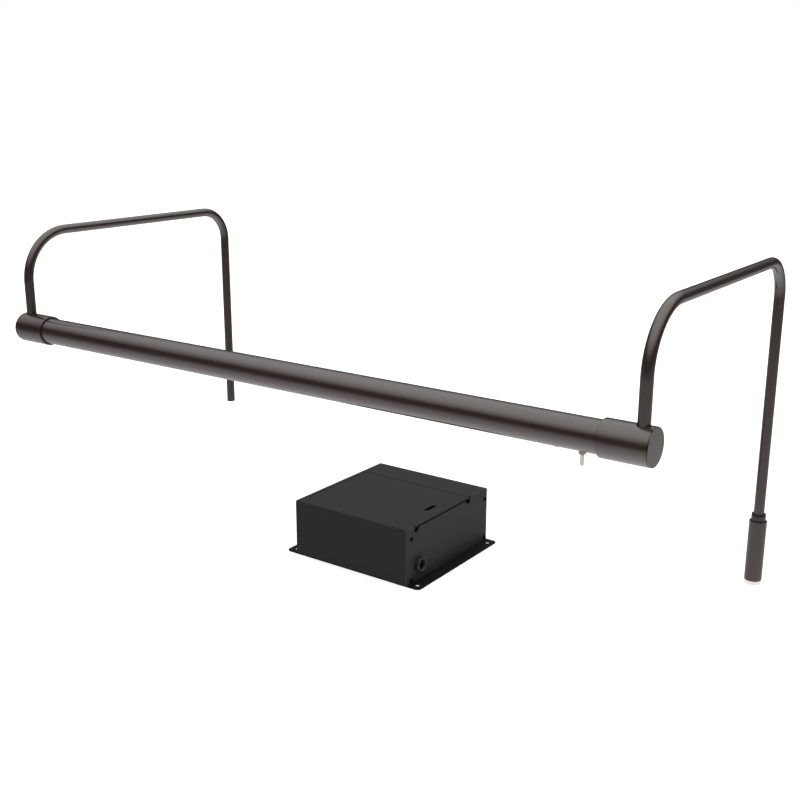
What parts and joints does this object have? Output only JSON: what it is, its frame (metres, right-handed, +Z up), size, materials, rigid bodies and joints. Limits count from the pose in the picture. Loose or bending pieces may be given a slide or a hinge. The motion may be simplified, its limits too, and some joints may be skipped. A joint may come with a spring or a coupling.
{
  "type": "picture light",
  "caption": "Long tubular picture light on two bent arms, with a swivelling light tube, a toggle switch and a separate sheet-metal battery box with a sliding lid.",
  "frame": {"origin": "midway between the axes of the two rear legs, level with the left leg's lower end", "axes": "+X along the light tube towards the switch end, +Y from the light tube back to the rear legs, +Z up"},
  "size_m": [0.926, 0.4104, 0.4174],
  "materials": {
    "bronze": "satin, finely brushed along its length",
    "black_steel": "matte powder coat",
    "black_zinc": "black zinc plated",
    "brass": "turned",
    "nylon": "natural",
    "white_plastic": "moulded",
    "lever_plastic": "moulded",
    "opal_plastic": "frosted",
    "aluminium": "extruded",
    "board_white": "solder mask",
    "led_yellow": "phosphor",
    "black_plastic": "moulded",
    "switch_blue": "moulded",
    "steel": "zinc plated",
    "battery_grey": "moulded",
    "battery_black": "moulded",
    "foam": "closed cell",
    "board_green": "solder mask",
    "block_green": "moulded",
    "capacitor_blue": "sleeved",
    "copper": "enamelled wire",
    "wire_black": "insulation",
    "wire_red": "insulation"
  },
  "bodies": {
    "frame": {"left_arm": "bronze", "right_arm": "bronze", "left_end_sleeve": "bronze", "right_end_sleeve": "bronze", "left_end_disc": "bronze", "right_end_disc": "bronze", "connector_collar": "bronze", "connector_barrel": "bronze", "base_plate": "black_steel", "case_shell": "black_steel", "left_end_panel": "black_steel", "right_end_panel": "black_steel", "lid_rails": "black_steel", "arm_set_screws": "black_zinc", "panel_screws": "black_zinc", "swivel_nipples": "brass", "nipple_nuts": "brass", "connector_pin": "brass", "friction_washers": "nylon", "friction_rings": "nylon", "board_standoffs": "nylon", "connector_insert": "white_plastic", "cable_bushing": "black_plastic", "bushing_nut": "black_plastic", "board_chips": "black_plastic", "shell_rivets": "steel", "bay_partition": "steel", "battery_terminals": "steel", "battery_case": "battery_grey", "battery_cover": "battery_black", "battery_pads": "foam", "driver_board": "board_green", "terminal_block": "block_green", "board_capacitors": "capacitor_blue", "board_choke": "copper", "arm_lead": "wire_black", "negative_lead": "wire_black", "positive_lead": "wire_red"},
    "light_tube": {"tube_housing": "bronze", "left_tube_plug": "black_plastic", "right_tube_plug": "black_plastic", "led_carrier": "aluminium", "led_board": "board_white", "led_chips": "led_yellow", "diffuser_lens": "opal_plastic", "lens_clip": "nylon", "lens_screw": "bronze", "tube_wiring": "wire_black", "switch_body": "switch_blue", "switch_terminals": "steel", "switch_bushing": "bronze", "switch_nut": "bronze", "switch_pivot": "steel"},
    "lever": {"switch_lever": "lever_plastic"},
    "lid": {"lid": "black_steel"}
  },
  "joints": [
    {"name": "tube_swivel", "type": "hinge", "parent": "frame", "child": "light_tube", "pos_m": [0, -0.38, 0.191], "axis": [1, 0, 0], "range_deg": [-60, 60]},
    {"name": "switch_toggle", "type": "hinge", "parent": "light_tube", "child": "lever", "pos_m": [0.389, -0.38, 0.1717], "axis": [0, 1, 0], "range_deg": [-12, 12]},
    {"name": "lid_slide", "type": "slide", "parent": "frame", "child": "lid", "axis": [1, 0, 0], "range_m": [0, 0.15]}
  ]
}
